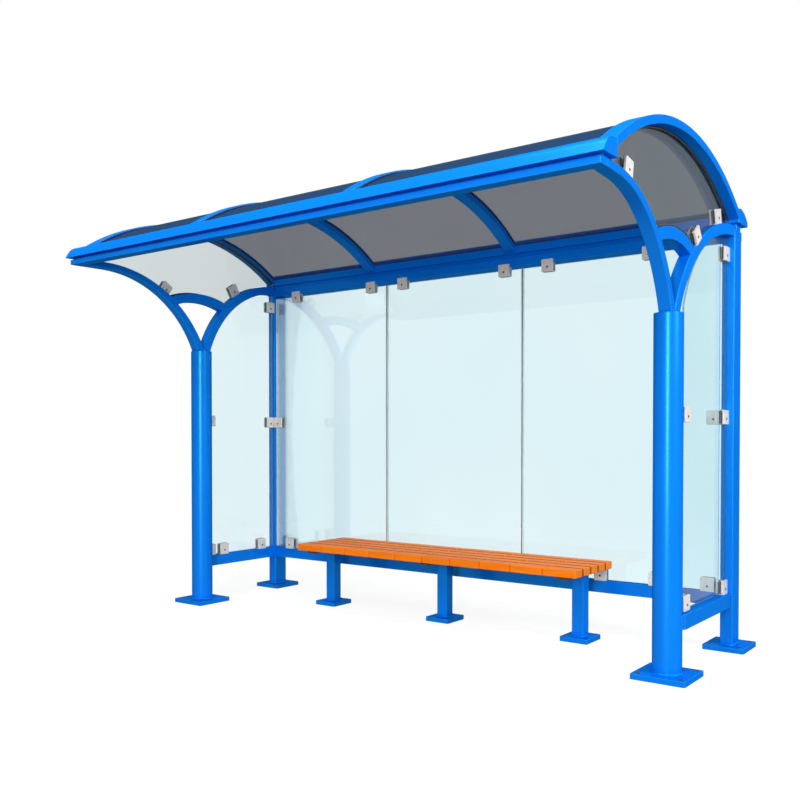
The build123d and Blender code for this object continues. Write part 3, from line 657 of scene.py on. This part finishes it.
def arc_strip(bm, axis, radii, x_range, angles, steps):
    """Rubber strip along an arc in a YZ plane, between two radii and two X positions."""
    path = []
    for k in range(steps + 1):
        a = angles[0] + (angles[1] - angles[0]) * k / steps
        path.append((Vector((0, *axis)), Vector((1, 0, 0)), Vector((0, math.sin(a), math.cos(a)))))
    (r0, r1), (x0, x1) = radii, x_range
    soft = min(r1 - r0, x1 - x0) * GASKET_SOFTNESS
    section = [(x0, r0 + soft), (x0, r1 - soft), (x0 + soft, r1), (x1 - soft, r1),
               (x1, r1 - soft), (x1, r0 + soft), (x1 - soft, r0), (x0 + soft, r0)]
    sweep(bm, path, lambda k: section, False)


def arc_angle(y, axis, radius):
    """Angle from the top of an arc to where it reaches Y."""
    return math.asin((y - axis[0]) / radius)


gaskets = bmesh.new()
arch_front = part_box("front_cap")[1].y
arch_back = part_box("rear_cap")[0].y
END_ARC = [arc_angle(y, ARCH_AXIS, END_RIB_INNER) for y in (arch_front, arch_back)]
UPPER_ARC = [arc_angle(y, ARCH_AXIS, SHEET_TOP) for y in (arch_front - CAP_LAP, arch_back)]
LOWER_ARC = [arc_angle(arch_front, ARCH_AXIS, SHEET_BOTTOM), UPPER_ARC[1]]
for side, end in ((-1, "left"), (1, "right")):
    for face in (GLASS_X + GLASS / 2, GLASS_X - GLASS / 2 - GABLE_GASKET):
        x_range = on_side(side, face, face + GABLE_GASKET)
        arc_strip(gaskets, ARCH_AXIS, GABLE_GASKET_RADII, x_range, END_ARC, ARCH_STEPS)
    low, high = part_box(f"arm_brace_{end}")
    arc = [arc_angle(y, BRACE_AXIS, BRACE_TOP) for y in (low.y + BRACE_GASKET_END, high.y - BRACE_GASKET_END)]
    x_range = on_side(side, *(GLASS_X - GLASS / 2 - inwards for inwards in BRACE_GASKET))
    arc_strip(gaskets, BRACE_AXIS, BRACE_GASKET_RADII, x_range, arc, BRACE_STEPS)
ribs = [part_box(f"roof_rib_{name}") for name in ("end_left", "middle_left", "middle_right", "end_right")]
for (_, high), (next_low, _) in zip(ribs, ribs[1:]):
    for x_range in ((high.x, high.x + ROOF_GASKET), (next_low.x - ROOF_GASKET, next_low.x)):
        arc_strip(gaskets, ARCH_AXIS, UPPER_GASKET_RADII, x_range, UPPER_ARC, ARCH_STEPS)
        arc_strip(gaskets, ARCH_AXIS, LOWER_GASKET_RADII, x_range, LOWER_ARC, ARCH_STEPS)
smooth(gaskets)
piece("rubber_gaskets", gaskets, RUBBER)


# ---------------------------------------------------------------- welds at the feet and the rail ends

def direction(angle):
    """Level unit vector at an angle."""
    return Vector((math.cos(angle), math.sin(angle), 0))


def round_outline(low, high):
    """Outline of an upright round tube, from its box: (point, outward) pairs."""
    centre = Vector(((low.x + high.x) / 2, (low.y + high.y) / 2, 0))
    turns = [direction(2 * math.pi * k / ROUND_STEPS) for k in range(ROUND_STEPS)]
    return [(centre + outward * (high.x - low.x) / 2, outward) for outward in turns]


def square_outline(x0, x1, y0, y1):
    """Outline of a rectangular tube with rounded corners: (point, outward) pairs."""
    pairs = []
    x0, x1, y0, y1 = x0 + TUBE_CORNER, x1 - TUBE_CORNER, y0 + TUBE_CORNER, y1 - TUBE_CORNER
    for quarter, (x, y) in enumerate(((x1, y1), (x0, y1), (x0, y0), (x1, y0))):
        for k in range(CORNER_STEPS + 1):
            outward = direction(math.pi / 2 * (quarter + k / CORNER_STEPS))
            pairs.append((Vector((x, y, 0)) + outward * TUBE_CORNER, outward))
    return pairs


def weld(bm, outline, size):
    """Slightly wavy fillet weld round an outline, standing on a plate."""
    path = [(p + Vector((0, 0, PLATE_TOP)), outward, Vector((0, 0, 1))) for p, outward in outline]

    def section(k):
        s = size * (1.0 + sum(share * math.sin(turn * k + start) for share, turn, start in WELD_RIPPLES))
        curve = [(s * across, s * up) for across, up in WELD_CURVE]
        return [(-WELD_ROOT, -WELD_SUNK), (-WELD_ROOT, s), *curve, (s, -WELD_SUNK)]

    sweep(bm, path, section, True)


def close_rail_end(bm, low, high):
    """Prism that closes a side rail's front end against its column, from the rail's box."""
    x_out = low.x if low.x < 0 else high.x
    outline = [(x_out - math.copysign(inwards, x_out), low.y + back) for inwards, back in RAIL_END]
    levels = (low.z + RAIL_END_INSET, high.z - RAIL_END_INSET)
    bottom, top = [[bm.verts.new((x, y, z)) for x, y in outline] for z in levels]
    for k in range(len(outline)):
        j = (k + 1) % len(outline)
        bm.faces.new((bottom[k], bottom[j], top[j], top[k]))
    bm.faces.new(bottom)
    bm.faces.new(top)


welds, fills = bmesh.new(), bmesh.new()
for side in ("left", "right"):
    weld(welds, round_outline(*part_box(f"front_column_{side}")), COLUMN_WELD)
    low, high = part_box(f"rear_post_{side}")
    weld(welds, square_outline(low.x, high.x, low.y, high.y), POST_WELD)
    close_rail_end(fills, *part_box(f"side_rail_{side}"))
for side in ("left", "middle", "right"):
    low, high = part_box(f"bench_leg_{side}")
    x, y = (low.x + high.x) / 2, (low.y + high.y) / 2
    weld(welds, square_outline(x - LEG_HALF, x + LEG_HALF, y - LEG_HALF, y + LEG_HALF), LEG_WELD)
bmesh.ops.recalc_face_normals(fills, faces=fills.faces[:])
piece("rail_end_welds", fills, PAINT)
smooth(welds)
piece("weld_beads", welds, PAINT)


# ---------------------------------------------------------------- painted shade in the bolt holes

def add_hole_shade(bm, x, y, radius):
    """Thin dark liner with a small collar in a bolt hole, a painted shade for the hole."""
    profile = [(radius + beyond, height) for beyond, height in HOLE_SHADE_PROFILE]
    lathe(bm, [*profile, (0.0, HOLE_SHADE_FLOOR)], HOLE_SHADE_STEPS, Matrix.Translation((x, y, 0)))


shade_liners = bmesh.new()
for end in ("front", "rear"):
    for side in ("left", "right"):
        low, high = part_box(f"{end}_base_plate_{side}")
        for x in (low.x + BOLT_EDGE, high.x - BOLT_EDGE):
            for y in (low.y + BOLT_EDGE, high.y - BOLT_EDGE):
                add_hole_shade(shade_liners, x, y, BOLT_RADIUS)
for side in ("left", "middle", "right"):
    low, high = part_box(f"bench_leg_{side}")
    for x in (low.x + LEG_BOLT_EDGE, high.x - LEG_BOLT_EDGE):
        for reach in (LEG_BOLT_EDGE - LEG_PLATE_HALF_Y, LEG_PLATE_HALF_Y - LEG_BOLT_EDGE):
            add_hole_shade(shade_liners, x, LEG_AXIS_Y + reach, LEG_BOLT_RADIUS)
bmesh.ops.recalc_face_normals(shade_liners, faces=shade_liners.faces[:])
smooth(shade_liners)
piece("bolt_hole_shade_liners", shade_liners, HOLE_SHADE)


# ---------------------------------------------------------------- painted shade: black sleeves on the seat bearers

shade_sleeves = bmesh.new()
seat_low, seat_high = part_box("bench_slats")
for side in ("left", "middle", "right"):
    low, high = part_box(f"bench_leg_{side}")
    x = (low.x + high.x) / 2
    # The black sleeve stands for the shade under the seat.
    block(shade_sleeves, (x - SLEEVE_HALF, seat_low.y + SLEEVE_END, seat_low.z - SLEEVE_DEPTH),
          (x + SLEEVE_HALF, seat_high.y - SLEEVE_END, seat_low.z - SLEEVE_GAP), SLEEVE_BEVEL)
piece("bearer_shade_sleeves", shade_sleeves, RUBBER)


# ---------------------------------------------------------------- camera, light and floor

camera = bpy.data.objects.new("camera", bpy.data.cameras.new("camera"))
bpy.context.scene.collection.objects.link(camera)
camera.location = CAMERA_AT
camera.rotation_euler = (math.pi / 2 + CAMERA_PITCH, 0.0, CAMERA_YAW)
camera.data.lens = CAMERA_LENS
camera.data.sensor_width = CAMERA_SENSOR
camera.data.shift_y = CAMERA_SHIFT_Y
camera.data.clip_end = CAMERA_CLIP_END
bpy.context.scene.camera = camera


def lamp(name, at, towards, width, height, power):
    """Soft rectangular area lamp."""
    data = bpy.data.lights.new(name, "AREA")
    data.shape = "RECTANGLE"
    data.size = width
    data.size_y = height
    data.energy = power
    obj = bpy.data.objects.new(name, data)
    obj.location = at
    obj.rotation_euler = (Vector(towards) - Vector(at)).to_track_quat("-Z", "Y").to_euler()
    bpy.context.scene.collection.objects.link(obj)


lamp("top_lamp", (0.5, -1.0, 11.0), (0.0, 0.0, 1.0), 5.0, 5.0, 680.0)
lamp("key_lamp", (1.0, -7.0, 8.0), (0.0, 0.0, 1.2), 3.6, 3.6, 360.0)
lamp("strip_lamp", (3.9, -8.2, 2.5), (1.2, 0.0, 1.6), 1.0, 4.2, 580.0)
lamp("side_lamp", (8.5, -0.6, 4.4), (1.0, 0.2, 1.2), 2.2, 2.2, 500.0)


def seen_directly(tree):
    """1 for rays that show a surface straight, in a mirror or through glass."""
    path = add(tree, "LightPath")
    either = math_node(tree, "MAXIMUM", path.outputs["Is Camera Ray"], path.outputs["Is Glossy Ray"])
    return math_node(tree, "MAXIMUM", either, path.outputs["Is Transmission Ray"])


world = bpy.data.worlds.new("studio")
bpy.context.scene.world = world
world.use_nodes = True
tree = world.node_tree
tree.nodes.clear()
light = add(tree, "Background", {"Color": WORLD_TINT, "Strength": WORLD_STRENGTH})
white = add(tree, "Background", {"Color": WHITE, "Strength": 1.0})
show(tree, add(tree, "OutputWorld"), mix_shader(tree, seen_directly(tree), light, white))

bm = bmesh.new()
bmesh.ops.create_grid(bm, x_segments=FLOOR_SEGMENTS, y_segments=FLOOR_SEGMENTS, size=FLOOR_HALF)
mesh = bpy.data.meshes.new("floor")
bm.to_mesh(mesh)
bm.free()
floor = bpy.data.objects.new("floor", mesh)
bpy.context.scene.collection.objects.link(floor)
floor.location.z = -FLOOR_DROP
mat, tree, out = new_material("floor")
mesh.materials.append(mat)
lit = add(tree, "BsdfDiffuse", {"Color": (FLOOR_GREY, FLOOR_GREY, FLOOR_GREY, 1.0)})
lift_strength = math_node(tree, "MULTIPLY", seen_directly(tree), FLOOR_LIFT)
lift = add(tree, "Emission", {"Color": WHITE, "Strength": lift_strength})
near = add(tree, "AddShader", {0: lit.outputs[0], 1: lift.outputs[0]})
far = add(tree, "Emission", {"Color": WHITE, "Strength": 1.0})
where = add(tree, "TexCoord").outputs["Object"]
reach = add(tree, "VectorMath", {0: where}, operation="LENGTH").outputs["Value"]
fade = remap(tree, reach, *FLOOR_FADE, 0.0, 1.0)
show(tree, out, mix_shader(tree, math_node(tree, "MULTIPLY", fade, seen_directly(tree)), near, far))

bpy.context.scene.view_settings.view_transform = "Standard"
